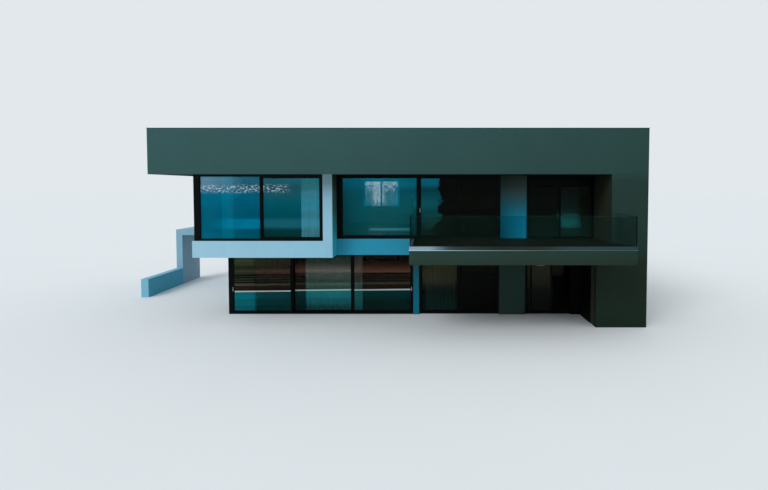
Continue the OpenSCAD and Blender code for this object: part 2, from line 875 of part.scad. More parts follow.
module ground_fixed_glass() {
  color("teal", 0.5) place() {
    at_fixed_leaves() {
      leaf_pane(living_leaf_w, clear_h, 0);
      leaf_pane(garden_leaf_w, clear_h, 0);
      leaf_pane(door_leaf_w, clear_h, 0);
    }
    translate([gx_left + (frame_d - glass_t) / 2, y_deep_in + frame_w, ground_t])
      cube([glass_t, y_corner - y_deep_in - 2 * frame_w, clear_ground - ground_t - frame_w]);
  }
}

module small_window_frames() {
  color("black") place() {
    at_rear_windows() small_frame();
    at_right_windows() small_frame();
    at_left_windows() small_frame();
  }
}

module small_window_glass() {
  color("teal", 0.5) place() {
    at_rear_windows() small_glass();
    at_right_windows() small_glass();
    at_left_windows() small_glass();
  }
}

// Stone sills that lie in the reveals before the small windows' frames
module window_sills() {
  color("lightgray") place() {
    at_rear_windows() translate([0, wall_t, 0]) mirror([0, 1, 0]) stone_sill();
    at_right_windows() stone_sill();
    at_left_windows() stone_sill();
  }
}

// Profile that falls away from the frame, drawn across the sill and run along the window
module stone_sill() {
  y = (wall_t - frame_d) / 2;
  rotate([90, 0, 90]) linear_extrude(small_w)
    polygon([[-stone_out, 0], [y, 0], [y, stone_t], [-stone_out, stone_t - stone_fall]]);
}

// Bulkhead lamp: a cover with round ends on its back plate
module balcony_lamp() {
  color("white") place() translate([gx_column + lamp_x, by0 + lamp_back, clear_ground - lamp_h]) {
    linear_extrude(lamp_h) offset(r = -lamp_step) round_end_plate(lamp_l, lamp_w);
    translate([0, 0, lamp_h - lamp_plate_t]) linear_extrude(lamp_plate_t) round_end_plate(lamp_l, lamp_w);
  }
}

module round_end_plate(l, w) {
  translate([w / 2, w / 2]) circle(d = w);
  translate([l - w / 2, w / 2]) circle(d = w);
  translate([w / 2, 0]) square([l - w, w]);
}

// Dark slats on the left face of the end wall's return
module return_cladding() {
  color("black") place() difference() {
    block([gx_flank - cladding_t, cladding_y, 0], [gx_flank, deep_recess, clear_ground]);
    for (y = [cladding_y + slat_pitch : slat_pitch : deep_recess])
      translate([gx_flank - cladding_t - cut, y - slat_groove, -cut])
        cube([cladding_t / 2 + cut, slat_groove, clear_ground + 2 * cut]);
  }
}

module portico_side_wall() {
  color("white") place()
    block([px0, portico_y, 0], [px0 + portico_t, portico_y + portico_d, portico_clear]);
}

module portico_roof_slab() {
  color("white") place() block([px0, portico_y, portico_clear],
    [x_box, portico_y + portico_d, portico_clear + portico_roof_t]);
}

// Low wall that ends in front of the portico's side wall
module portico_low_wall() {
  color("white") place() block([px0 + portico_t - low_wall_t, portico_y - low_wall_l, 0],
    [px0 + portico_t, portico_y, low_wall_h]);
}

ground_floor_slab();
left_ground_wall();
rear_ground_wall();
right_side_wall();
flank_front_wall();
flank_return_walls();
door_jamb_wall();
ground_pier();
white_column();
upper_floor_slab();
box_sill_band();
box_right_pier();
left_upper_wall();
mid_sill_band();
balcony_upstand();
mid_return_wall();
upper_pier();
rear_upper_wall();
front_fascia();
left_fascia();
rear_fascia();
roof_slab();
parapet_coping();
balcony_slab();
balcony_paving();
balcony_channel();
balcony_drip_edge();
balustrade_glass();
box_window_frame();
box_window_sash();
box_window_glass();
mid_window_frame();
mid_window_sashes();
mid_window_glass();
upper_door_frame();
upper_door_glass();
shutter_box();
living_frame();
living_left_leaf();
living_left_glass();
living_right_leaf();
living_right_glass();
garden_window_frame();
garden_leaf();
garden_leaf_glass();
terrace_door_frame();
terrace_door_leaf();
terrace_door_glass();
ground_fixed_leaves();
ground_fixed_glass();
small_window_frames();
small_window_glass();
window_sills();
rear_door();
balcony_lamp();
return_cladding();
portico_side_wall();
portico_roof_slab();
portico_low_wall();
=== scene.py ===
import json
import math
import random

import bmesh
import bpy
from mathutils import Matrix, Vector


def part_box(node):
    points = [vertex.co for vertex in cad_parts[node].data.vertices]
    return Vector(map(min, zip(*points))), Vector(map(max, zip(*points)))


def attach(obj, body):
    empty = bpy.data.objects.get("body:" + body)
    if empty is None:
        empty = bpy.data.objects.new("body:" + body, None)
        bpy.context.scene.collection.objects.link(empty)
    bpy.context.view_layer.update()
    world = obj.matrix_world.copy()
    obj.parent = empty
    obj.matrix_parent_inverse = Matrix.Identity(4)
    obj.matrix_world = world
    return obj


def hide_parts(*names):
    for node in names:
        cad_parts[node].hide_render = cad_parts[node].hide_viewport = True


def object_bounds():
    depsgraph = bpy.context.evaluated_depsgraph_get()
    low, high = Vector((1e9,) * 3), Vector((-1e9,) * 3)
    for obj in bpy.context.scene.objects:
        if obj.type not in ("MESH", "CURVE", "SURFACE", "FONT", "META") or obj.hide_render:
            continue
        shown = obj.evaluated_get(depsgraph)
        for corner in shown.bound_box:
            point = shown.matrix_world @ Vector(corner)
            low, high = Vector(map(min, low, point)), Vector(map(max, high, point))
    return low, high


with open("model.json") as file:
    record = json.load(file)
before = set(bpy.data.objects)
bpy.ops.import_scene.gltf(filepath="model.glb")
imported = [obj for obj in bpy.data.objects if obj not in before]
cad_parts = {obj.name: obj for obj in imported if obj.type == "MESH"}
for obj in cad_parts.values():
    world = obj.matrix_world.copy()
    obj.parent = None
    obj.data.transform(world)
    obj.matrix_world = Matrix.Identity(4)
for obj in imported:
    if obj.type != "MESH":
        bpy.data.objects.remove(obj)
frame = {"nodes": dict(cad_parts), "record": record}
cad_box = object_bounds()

# Picture frame and the camera fitted to the photograph
PICTURE_W, PICTURE_H = 768, 490
FOCAL_PX = 525.4
AXIS_PX = (431.3, 209.5)
SENSOR_MM = 36.0
CAMERA_FROM_ROOF_CORNER = (10.526, -19.528)
CAMERA_HEIGHT = 5.253
CAMERA_PITCH = math.radians(2.4)
VIEW_END = 500

# Lines of the house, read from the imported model
ROOF_LO, ROOF_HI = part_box("front_fascia")
CHANNEL_LO, CHANNEL_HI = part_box("balcony_channel")
PAVING_LO, PAVING_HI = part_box("balcony_paving")
Z_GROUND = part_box("ground_floor_slab")[1].z
Z_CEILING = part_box("upper_floor_slab")[0].z
Z_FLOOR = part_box("balcony_slab")[1].z
Z_SOFFIT = ROOF_LO.z
Z_TOP = cad_box[1][2]
X_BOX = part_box("left_upper_wall")[0].x
X_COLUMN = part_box("white_column")[0].x
X_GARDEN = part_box("garden_window_frame")[0].x
X_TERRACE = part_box("terrace_door_frame")[0].x
X_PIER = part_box("upper_pier")[0].x
X_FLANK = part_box("upper_door_frame")[1].x
Y_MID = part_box("mid_sill_band")[0].y
Y_DEEP, Y_DEEP_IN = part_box("upper_pier")[0].y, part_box("upper_pier")[1].y

random.seed(7)


def srgb(red, green, blue):
    """Linear colour of an 8-bit one."""
    def linear(value):
        value /= 255
        return value / 12.92 if value <= 0.04045 else ((value + 0.055) / 1.055) ** 2.4
    return linear(red), linear(green), linear(blue), 1.0


def shaded(colour, share):
    return tuple(c * share for c in colour[:3]) + (1.0,)


class Surface:
    """A node material built round one Principled shader, with helpers for its textures."""

    def __init__(self, name, colour=(0.5, 0.5, 0.5, 1), rough=0.6, gloss=0.5, opaque=1.0):
        self.material = bpy.data.materials.new(name)
        self.material.use_nodes = True
        self.tree = self.material.node_tree
        self.shader = self.tree.nodes["Principled BSDF"]
        self.shader.inputs["Base Color"].default_value = colour
        self.shader.inputs["Roughness"].default_value = rough
        self.shader.inputs["Specular IOR Level"].default_value = gloss
        self.shader.inputs["Alpha"].default_value = opaque
        self.material.diffuse_color = colour

    def node(self, kind, **values):
        made = self.tree.nodes.new(kind)
        for name, value in values.items():
            if name in made.inputs:
                made.inputs[name].default_value = value
            else:
                setattr(made, name, value)
        return made

    def link(self, out, into):
        self.tree.links.new(out, into)

    def place(self, stretch=(1, 1, 1)):
        """Place on the piece in metres, stretched along the axes."""
        coordinates = self.node("ShaderNodeTexCoord")
        mapping = self.node("ShaderNodeMapping")
        mapping.inputs["Scale"].default_value = stretch
        self.link(coordinates.outputs["Object"], mapping.inputs["Vector"])
        return mapping.outputs["Vector"]

    def noise(self, scale, detail=3.0, stretch=(1, 1, 1)):
        texture = self.node("ShaderNodeTexNoise", Scale=scale, Detail=detail)
        self.link(self.place(stretch), texture.inputs["Vector"])
        return texture.outputs["Fac"]

    def cells(self, scale):
        """Distance to the nearest of many scattered points, for gravel."""
        texture = self.node("ShaderNodeTexVoronoi", Scale=scale)
        self.link(self.place(), texture.inputs["Vector"])
        return texture.outputs["Distance"], texture.outputs["Color"]

    def math(self, way, one, other):
        made = self.node("ShaderNodeMath", operation=way)
        self.feed(one, made.inputs[0])
        self.feed(other, made.inputs[1])
        return made.outputs[0]

    def span(self, value, low, high, to_low=0.0, to_high=1.0):
        """Value stretched from low..high to to_low..to_high and clamped."""
        made = self.node("ShaderNodeMapRange", clamp=True)
        for name, number in (("From Min", low), ("From Max", high),
                             ("To Min", to_low), ("To Max", to_high)):
            made.inputs[name].default_value = number
        self.link(value, made.inputs["Value"])
        return made.outputs["Result"]

    def axis(self, name):
        split = self.node("ShaderNodeSeparateXYZ")
        self.link(self.place(), split.inputs["Vector"])
        return split.outputs[name]

    def along(self, name, low, high):
        """0 at low and 1 at high along one axis of the piece."""
        return self.span(self.axis(name), low, high)

    def facing(self, axis, way=1):
        """1 on faces that look along an axis, such as Z for those that look up, or against it
        where way is -1."""
        split = self.node("ShaderNodeSeparateXYZ")
        self.link(self.node("ShaderNodeNewGeometry").outputs["Normal"], split.inputs["Vector"])
        return self.span(split.outputs[axis], 0.5 * way, 0.9 * way)

    def ramp(self, factor, stops):
        """Colour ramp with (place, colour) stops."""
        ramp = self.node("ShaderNodeValToRGB")
        points = ramp.color_ramp.elements
        points.remove(points[1])
        points[0].position, points[0].color = stops[0]
        for at, colour in stops[1:]:
            points.new(at).color = colour
        self.link(factor, ramp.inputs["Fac"])
        return ramp.outputs["Color"]

    def feed(self, value, socket):
        """Link or write a value into a socket."""
        if isinstance(value, bpy.types.NodeSocket):
            self.link(value, socket)
        else:
            socket.default_value = value

    def blend(self, factor, one, other, way="MIX"):
        """Mix of two colours or colour sockets."""
        mix = self.node("ShaderNodeMix", data_type="RGBA", blend_type=way)
        colours = [s for s in mix.inputs if s.type == "RGBA"]
        self.feed(one, colours[0])
        self.feed(other, colours[1])
        self.feed(factor, mix.inputs["Factor"])
        return [s for s in mix.outputs if s.type == "RGBA"][0]

    def patches(self, darkest, scale=0.9, stretch=(1, 1, 1)):
        """Grey cloud from darkest to 1, to multiply a colour with."""
        stops = [(0.3, (darkest,) * 3 + (1,)), (0.7, (1, 1, 1, 1))]
        return self.ramp(self.noise(scale, 4.0, stretch), stops)

    def colour(self, socket):
        self.link(socket, self.shader.inputs["Base Color"])
        return self

    def drive(self, name, factor, low, high):
        """Shader input that follows a factor from low to high."""
        self.link(self.span(factor, 0, 1, low, high), self.shader.inputs[name])
        return self

    def bump(self, height, depth, strength=0.5):
        bump = self.node("ShaderNodeBump", Strength=strength, Distance=depth)
        self.link(height, bump.inputs["Height"])
        self.link(bump.outputs["Normal"], self.shader.inputs["Normal"])
        return self


LEE_TINT = [(0.0, (0.5, 0.62, 0.66, 1))]


def plaster(name, tint, low=0.0, high=1.0, grain=170, rough=0.82, cloud=0.94, lee=LEE_TINT, axis="Z",
            room=None):
    """Fine-grained wall; tint is (share of the way from low to high on an axis, colour) stops.
    On the right-hand sides, which are out of the sun, it is multiplied by the lee stops. room
    is the colour of the face towards the front, for a rear wall that is seen from inside."""
    surface = Surface(name, tint[0][1], rough=rough, gloss=0.15)
    way = surface.along(axis, low, high)
    base = surface.ramp(way, tint)
    shade = surface.blend(1.0, base, surface.ramp(way, lee), "MULTIPLY")
    base = surface.blend(surface.facing("X"), base, shade)
    if room:
        base = surface.blend(surface.facing("Y", -1), base, room)
    streaks = surface.patches(0.97, 2.2, (3, 3, 0.25))
    clouds = surface.blend(1.0, surface.patches(cloud), streaks, "MULTIPLY")
    surface.colour(surface.blend(1.0, base, clouds, "MULTIPLY"))
    surface.drive("Roughness", surface.noise(4, 3.0), rough - 0.06, rough + 0.08)
    return surface.bump(surface.noise(grain, 2.0), 0.0015, 0.35).material


def dark_render():
    """Grey-green render with the photograph's light painted on it: lighter on the roof band and
    towards the left end."""
    surface = Surface("dark_render", srgb(50, 78, 77), rough=0.7, gloss=0.08)
    height = surface.ramp(surface.along("Z", 0.0, Z_TOP), [
        (0.0, srgb(31, 50, 42)), (0.33, srgb(43, 56, 47)), (0.42, srgb(45, 69, 64)),
        (0.74, srgb(47, 72, 69)), (0.78, srgb(52, 84, 83)), (1.0, srgb(55, 87, 87))])
    across = surface.ramp(surface.along("X", ROOF_LO.x, ROOF_HI.x), [
        (0.0, (1, 1, 1, 1)), (0.5, (0.86, 0.88, 0.87, 1)), (1.0, (0.58, 0.6, 0.55, 1))])
    base = surface.blend(1.0, height, across, "MULTIPLY")
    surface.colour(surface.blend(1.0, base, surface.patches(0.93, 0.7), "MULTIPLY"))
    surface.drive("Roughness", surface.noise(3, 3.0), 0.62, 0.8)
    return surface.bump(surface.noise(220, 2.0), 0.0012, 0.3).material


def painted_metal(name, colour, rough=0.38, gloss=0.05):
    surface = Surface(name, colour, rough=rough, gloss=gloss)
    surface.colour(surface.blend(1.0, colour, surface.patches(0.85, 3.0), "MULTIPLY"))
    surface.drive("Roughness", surface.noise(9.0, 4.0), rough - 0.08, rough + 0.1)
    return surface.bump(surface.noise(600, 1.0), 0.0003, 0.2).material


def frame_with_bar(name, bar_plane, bar_colour, outward=-1):
    """Black frame whose pull bar, which stands off beyond bar_plane, has a colour of its own."""
    surface = Surface(name, BLACK, rough=0.38, gloss=0.05)
    edge = 0.0005
    bar = surface.along("Y", bar_plane, bar_plane + outward * edge)
    black = surface.blend(1.0, BLACK, surface.patches(0.85, 3.0), "MULTIPLY")
    steel = surface.blend(1.0, bar_colour, surface.patches(0.9, 30, (1, 1, 8)), "MULTIPLY")
    surface.colour(surface.blend(bar, black, steel))
    surface.drive("Metallic", bar, 0.0, 0.6)
    return surface.bump(surface.noise(600, 1.0), 0.0003, 0.2).material


VEIL_EDGE = 0.03
CALM = (0.86, (1, 1, 3))


def glazing(name, zones, edges, low, high, gloss=0.03, ragged=0.0, speckled=None, rows=None,
            veils=(), bands=CALM, tilt=None):
    """Glass with hardly any gloss of its own: what it mirrors is painted on it, in zones from
    left to right, each (colour stops by height, share that hides what is behind). edges has
    the X where each change starts and ends, and ragged lets it wander. speckled is the (bottom,
    top, X where it starts to fade, X where it ends) of a band of pale specks of painted
    reflection. rows is the (bottom, top, pitch, X where they end) of fine dark rows of painted
    reflection. veils are (left X, right X, colour stops) of painted light that a curtain or
    daylight adds, and of a bright painted reflection. bands is the darkest tone of the soft
    bands and how they are stretched, and tilt is the (left X, right X, drop) by which
    everything comes down towards the left."""
    surface = Surface(name, zones[0][0][0][1], rough=0.03, gloss=gloss)
    height = surface.along("Z", low, high)
    true_place = place = surface.axis("X")
    if tilt:
        left, right, drop = tilt
        height = surface.math("ADD", height, surface.span(place, left, right, drop, 0.0))
    if ragged:
        wander = surface.span(surface.noise(1.6, 5.0), 0.3, 0.7, -ragged, ragged)
        place = surface.math("ADD", place, wander)
    tint = surface.ramp(height, zones[0][0])
    opaque = surface.ramp(height, [(0.0, (zones[0][1],) * 3 + (1,))])
    for (stops, share), (start, end) in zip(zones[1:], edges):
        side = surface.span(place, start, end)
        tint = surface.blend(side, tint, surface.ramp(height, stops))
        opaque = surface.blend(side, opaque, (share,) * 3 + (1,))
    if rows:
        bottom, top, pitch, end = rows
        wave = surface.math("SINE", surface.math("MULTIPLY", surface.math("SUBTRACT", height, bottom),
                                                 2 * math.pi / pitch), 0)
        inside = surface.math("MULTIPLY", surface.span(height, bottom - pitch / 4, bottom),
                              surface.span(height, top + pitch / 4, top))
        inside = surface.math("MULTIPLY", inside, surface.span(place, end, end - pitch))
        gaps = surface.math("MULTIPLY", inside, surface.span(wave, 0.75, 0.3))
        tint = surface.blend(gaps, tint, BLACK)
    for start, end, stops in veils:
        inside = surface.math("MULTIPLY", surface.span(true_place, start - VEIL_EDGE, start),
                              surface.span(true_place, end + VEIL_EDGE, end))
        folds = surface.patches(0.7, 3.0, (5, 1, 0.1))
        light = surface.blend(1.0, surface.ramp(height, stops), folds, "MULTIPLY")
        tint = surface.blend(inside, tint, light, "ADD")
    if speckled:
        bottom, top, fade_start, fade_end = speckled
        middle, reach = (bottom + top) / 2, (top - bottom) / 2
        off = surface.math("ABSOLUTE", surface.math("SUBTRACT", height, middle), 0)
        band = surface.math("MULTIPLY", surface.span(off, reach, reach * 0.4),
                            surface.span(place, fade_end, fade_start))
        specks = surface.span(surface.noise(13.0, 5.0, (0.8, 1, 1.7)), 0.52, 0.6, 0.0, 0.85)
        tint = surface.blend(surface.math("MULTIPLY", band, specks), tint, SPECK)
    surface.colour(surface.blend(1.0, tint, surface.patches(bands[0], 1.1, bands[1]), "MULTIPLY"))
    surface.link(opaque, surface.shader.inputs["Alpha"])
    surface.drive("Roughness", surface.noise(2.0, 2.0), 0.02, 0.05)
    return surface.material


def small_window_glass():
    """Dark glass, clear only in the two panes behind the long window, where daylight shows in
    uneven patches."""
    surface = Surface("small_glass", FAR_ROOM, rough=0.03, gloss=0.2)
    surface.colour(surface.blend(1.0, FAR_ROOM, surface.patches(0.8, 0.8), "MULTIPLY"))
    place, height = surface.axis("X"), surface.axis("Z")
    (left, bottom), right = (FAR_LEFT[0][0], FAR_LEFT[0][2]), FAR_RIGHT[1][0]
    behind = surface.math("MULTIPLY", surface.span(place, left - 0.1, left),
                          surface.span(place, right + 0.1, right))
    behind = surface.math("MULTIPLY", behind, surface.span(height, Z_CEILING, Z_FLOOR))
    bright = surface.math("MULTIPLY", surface.span(place, *within(FAR_LEFT, 0.35, 0.6)),
                          surface.span(place, *reversed(within(FAR_RIGHT, -0.05, 0.3))))
    uneven = surface.span(surface.noise(8.0, 5.0, (1.6, 1, 0.6)), 0.35, 0.65, -0.3, 0.3)
    ragged = surface.math("ADD", height, uneven)
    lower_edge = surface.span(ragged, bottom + 0.05, bottom + 0.3, 0.5, 1.0)
    upper_band = surface.span(ragged, FAR_LEFT[1][2] - 0.5, FAR_LEFT[1][2] - 0.35, 0.0, 0.6)
    light = surface.math("MAXIMUM", surface.math("MULTIPLY", bright, 0.75), upper_band)
    light = surface.math("ADD", light, surface.math("ADD", uneven, 0.17))
    light = surface.math("MULTIPLY", surface.math("MULTIPLY", light, lower_edge), behind)
    surface.drive("Alpha", light, 0.85, 0.0)
    return surface.material


def rail_glass():
    """Grey-green pane with a polished top edge and dark seals at its two corners. The pane at
    the left end is seen along its length, so it looks deeper."""
    low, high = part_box("balustrade_glass")
    surface = Surface("rail_glass", RAIL_TINT, rough=0.05, gloss=0.02)
    top = surface.along("Z", high.z - RAIL_TOP, high.z - RAIL_TOP + 0.001)
    place = surface.axis("X")
    left_end = surface.span(place, low.x + RAIL_SEAL, low.x + RAIL_SEAL - 0.001)
    right_end = surface.span(place, high.x - RAIL_SEAL, high.x - RAIL_SEAL + 0.001)
    front = surface.span(surface.axis("Y"), low.y + RAIL_SEAL + 0.001, low.y + RAIL_SEAL)
    seal = surface.math("MULTIPLY", surface.math("MAXIMUM", left_end, right_end), front)
    surface.colour(surface.blend(seal, surface.blend(top, RAIL_TINT, RAIL_EDGE), BLACK))
    cover = surface.math("MAXIMUM", surface.math("MULTIPLY", top, RAIL_TOP_COVER),
                         surface.math("MULTIPLY", left_end, RAIL_END_COVER))
    cover = surface.math("MAXIMUM", cover, surface.math("MULTIPLY", seal, RAIL_SEAL_COVER))
    surface.drive("Alpha", cover, RAIL_ALPHA, 1.0)
    surface.drive("Roughness", surface.noise(2.0, 2.0), 0.03, 0.08)
    return surface.material


def wood(name, colour, darker=0.6):
    """Oiled boards that run along X, each with a tone of its own."""
    surface = Surface(name, colour, rough=0.6, gloss=0.12)
    fibres = [(0.3, shaded(colour, darker)), (0.7, colour)]
    grain = surface.ramp(surface.noise(9, 6.0, (0.25, 9, 9)), fibres)
    tone = surface.patches(0.62, 1.0, (0.5, 8.3, 1))
    surface.colour(surface.blend(1.0, grain, tone, "MULTIPLY"))
    surface.drive("Roughness", surface.noise(14, 3.0, (0.3, 6, 6)), 0.5, 0.75)
    return surface.bump(surface.noise(40, 4.0, (0.2, 9, 9)), 0.0015, 0.4).material


def roof_finish():
    """Pale gravel on top; underneath, white paint in the rooms and, where the roof stands over its
    walls, a dark grey-green that is painted shade."""
    surface = Surface("roof_finish", srgb(120, 124, 124), rough=0.9, gloss=0.1)
    distance, tone = surface.cells(38)
    pebbles = surface.ramp(distance, [(0.0, srgb(150, 153, 152)), (0.7, srgb(70, 74, 74))])
    gravel = surface.blend(0.35, pebbles, tone, "SOFT_LIGHT")
    gravel = surface.blend(1.0, gravel, surface.patches(0.8, 0.5), "MULTIPLY")
    fade = 0.01
    overhang_shade = surface.math("MAXIMUM", surface.along("Y", Y_DEEP + fade, Y_DEEP),
                            surface.along("X", X_BOX + fade, X_BOX))
    # Painted shade on the underside where the roof stands out over its walls
    under = surface.blend(overhang_shade, srgb(196, 200, 200), srgb(20, 28, 26))
    surface.colour(surface.blend(surface.facing("Z"), under, gravel))
    return surface.bump(distance, 0.012, 0.6).material


TILE, TILE_JOINT = 0.8, 0.004


def floor_finish():
    """Large stone tiles on top and white paint on the ceiling below."""
    surface = Surface("floor_finish", srgb(90, 88, 84), rough=0.4, gloss=0.2)
    tiles = surface.node("ShaderNodeTexBrick", Scale=1.0)
    tiles.offset = 0.0
    tiles.inputs["Brick Width"].default_value = TILE
    tiles.inputs["Row Height"].default_value = TILE
    tiles.inputs["Mortar Size"].default_value = TILE_JOINT
    tiles.inputs["Color1"].default_value = srgb(64, 62, 58)
    tiles.inputs["Color2"].default_value = srgb(58, 56, 52)
    tiles.inputs["Mortar"].default_value = srgb(34, 33, 31)
    surface.link(surface.place(), tiles.inputs["Vector"])
    stone = surface.blend(1.0, tiles.outputs["Color"], surface.patches(0.8, 2.5), "MULTIPLY")
    surface.colour(surface.blend(surface.facing("Z"), srgb(188, 192, 192), stone))
    return surface.bump(surface.noise(60, 3.0), 0.0006, 0.2).material


def balcony_metal(name, stops, gloss):
    """Anodised metal round the balcony, which catches the light at its left end."""
    surface = Surface(name, stops[0][1], rough=0.4, gloss=gloss)
    tint = surface.ramp(surface.along("X", CHANNEL_LO.x, CHANNEL_HI.x), stops)
    surface.colour(surface.blend(1.0, tint, surface.patches(0.9, 40, (0.2, 1, 6)), "MULTIPLY"))
    return surface.bump(surface.noise(300, 1.0, (0.1, 1, 6)), 0.0003, 0.3).material


def cloth(name, colour):
    """Sheer curtain cloth with a fine upright weave."""
    surface = Surface(name, colour, rough=0.9, gloss=0.05, opaque=0.86)
    threads = [(0.35, shaded(colour, 0.86)), (0.65, colour)]
    surface.colour(surface.ramp(surface.noise(300, 2.0, (1, 1, 0.15)), threads))
    surface.shader.inputs["Sheen Weight"].default_value = 0.25
    return surface.bump(surface.noise(420, 2.0), 0.0004, 0.3).material


BLACK = srgb(7, 9, 10)
# Pull bar steel, and a darker copy of it that is painted shade, for the bars of leaves in shade
STEEL, SHADED_STEEL = srgb(205, 216, 220), srgb(40, 44, 45)
# Colour of the pale specks of painted reflection in the window box's glass
SPECK = srgb(205, 215, 228)
# Light that curtains and daylight add to the panes, painted from their bottom to their top and
# tuned to colours measured in the photograph
BOX_CLOTH = [(0.0, srgb(70, 122, 136)), (0.6, srgb(56, 118, 138)), (0.75, srgb(50, 100, 114)),
             (0.9, srgb(16, 60, 56))]
LIVING_CLOTH = [(0.0, srgb(14, 60, 58)), (0.2, srgb(8, 106, 104)), (0.38, srgb(16, 100, 96)),
                (0.46, srgb(66, 92, 84)), (0.58, srgb(50, 66, 56)), (0.7, srgb(88, 88, 80)),
                (1.0, srgb(60, 62, 58))]
LIVING_CLOTH_MIDDLE = [(0.0, srgb(24, 50, 48)), (0.1, srgb(12, 70, 70)), (0.18, srgb(10, 106, 112)),
                       (0.26, srgb(6, 140, 152)), (0.36, srgb(40, 150, 152)), (0.4, srgb(46, 104, 92)),
                       (0.44, srgb(60, 112, 100)), (0.46, srgb(108, 150, 134)),
                       (0.48, srgb(60, 104, 90)), (0.6, srgb(84, 108, 100)),
                       (0.69, srgb(122, 142, 136)), (0.76, srgb(70, 96, 86)), (1.0, srgb(34, 56, 46))]
FAR_LIGHT = [(0.5, BLACK), (0.58, srgb(0, 112, 136)), (0.92, srgb(0, 112, 136)), (0.96, BLACK)]
# A bright line painted low across the long window's left pane: a painted reflection
MID_LOW_LINE = [(0.16, BLACK), (0.175, srgb(60, 132, 140)), (0.195, srgb(60, 132, 140)), (0.21, BLACK)]
FAR_ROOM = srgb(40, 62, 64)
RAIL_TINT, RAIL_EDGE = srgb(8, 32, 26), srgb(30, 62, 58)
RAIL_ALPHA, RAIL_TOP, RAIL_SEAL = 0.2, 0.016, 0.03
RAIL_TOP_COVER, RAIL_END_COVER, RAIL_SEAL_COVER = 0.4, 0.3, 0.8

# Light and shade of the photograph, painted along these pieces and tuned to colours measured
# there
CHANNEL = [(0.0, srgb(134, 162, 172)), (0.09, srgb(136, 160, 166)), (0.13, srgb(94, 118, 124)),
           (0.17, srgb(52, 72, 73)), (0.22, srgb(36, 56, 54)), (0.4, srgb(26, 38, 34)),
           (0.6, srgb(34, 46, 42)), (0.7, srgb(46, 66, 66)), (1.0, srgb(38, 62, 62))]
DRIP = [(0.0, srgb(191, 231, 242)), (0.15, srgb(190, 220, 228)), (0.28, srgb(160, 182, 180)),
        (0.45, srgb(136, 152, 148)), (0.6, srgb(98, 116, 112)), (1.0, srgb(74, 106, 104))]
PIER = [(0.0, srgb(0, 172, 216)), (0.33, srgb(0, 172, 216)), (0.43, srgb(40, 156, 186)),
        (0.56, srgb(60, 140, 154)), (0.69, srgb(78, 121, 126)), (0.82, srgb(74, 96, 90)),
        (1.0, srgb(60, 71, 58))]
STRIP = [(0.15, srgb(141, 188, 209)), (0.45, srgb(136, 181, 201)), (0.6, srgb(132, 175, 195)),
         (0.73, srgb(120, 158, 177)), (0.87, srgb(94, 122, 129)), (1.0, srgb(88, 112, 118))]
STRIP_LEE = [(0.0, (0.12, 1.0, 1.0, 1)), (0.23, (0.13, 0.6, 0.5, 1)), (0.5, (0.17, 0.28, 0.21, 1)),
             (1.0, (0.25, 0.25, 0.12, 1))]
COLUMN = [(0.1, srgb(2, 104, 127)), (0.45, srgb(14, 98, 117)), (0.75, srgb(32, 98, 111)),
          (1.0, srgb(44, 98, 102))]

# What the panes mirror in the photograph, from their bottom to their top. It is painted and
# doesn't come from the shader: the tints were tuned until the render came near the colours
# measured in the photograph, pane by pane and level by level.
BOX_TINT_LEFT = [(0.0, srgb(0, 110, 136)), (0.3, srgb(0, 98, 122)), (0.55, srgb(0, 104, 134)),
                 (0.73, srgb(0, 114, 142)), (0.82, srgb(96, 140, 166)), (1.0, srgb(108, 156, 180))]
BOX_TINT_MIDDLE = [(0.0, srgb(0, 92, 112)), (0.2, srgb(0, 88, 110)), (0.24, srgb(0, 126, 162)),
                   (0.34, srgb(0, 126, 162)), (0.38, srgb(0, 90, 116)), (0.72, srgb(0, 104, 132)),
                   (0.8, srgb(28, 96, 116)), (1.0, srgb(40, 116, 138))]
BOX_TINT_RIGHT = [(0.0, srgb(8, 42, 46)), (0.2, srgb(4, 62, 62)), (0.26, srgb(24, 104, 120)),
                  (0.33, srgb(24, 104, 120)), (0.39, srgb(0, 84, 96)), (0.6, srgb(4, 94, 110)),
                  (0.72, srgb(28, 98, 110)), (0.82, srgb(30, 92, 102)), (1.0, srgb(44, 116, 132))]
MID_TINT_LIGHT = [(0.0, srgb(8, 77, 81)), (0.15, srgb(6, 92, 98)), (0.5, srgb(4, 108, 118)),
                  (0.75, srgb(4, 121, 142)), (0.86, srgb(4, 168, 200)), (1.0, srgb(6, 182, 216))]
MID_TINT_LEAF = [(0.15, srgb(30, 52, 46)), (0.3, srgb(24, 84, 84)), (0.45, srgb(12, 76, 78)),
                 (0.57, srgb(14, 102, 114)), (0.67, srgb(8, 90, 104)), (0.78, srgb(6, 82, 96)),
                 (0.86, srgb(14, 136, 164)), (1.0, srgb(28, 160, 190))]
MID_TINT_DARK = [(0.0, srgb(10, 12, 9)), (1.0, srgb(10, 13, 9))]
DOOR_TINT_LEFT = [(0.0, srgb(26, 50, 44)), (0.4, srgb(20, 32, 25)), (1.0, srgb(17, 20, 15))]
DOOR_TINT_RIGHT = [(0.0, srgb(32, 58, 50)), (0.4, srgb(32, 42, 34)), (1.0, srgb(40, 44, 34))]
DOOR_TINT_MIDDLE = [(0.0, srgb(18, 46, 42)), (0.1, srgb(38, 72, 66)), (0.165, srgb(34, 80, 76)),
                    (0.185, srgb(44, 138, 140)), (0.26, srgb(48, 156, 162)), (0.34, srgb(42, 132, 134)),
                    (0.41, srgb(34, 80, 78)), (0.5, srgb(28, 58, 54)), (0.8, srgb(28, 38, 31)),
                    (1.0, srgb(32, 36, 28))]
BRIGHT_LINE = srgb(232, 244, 244)
DARK_BAND, THIN_LINE = srgb(42, 34, 22), srgb(103, 99, 88)
# Bottom, top and pitch of the fine dark rows of painted reflection, and bottom and top of the
# pale specks of painted reflection, as shares of the panes' height
FINE_ROWS = (0.49, 0.645, 0.0385)
SPECK_BAND = (0.72, 0.87)


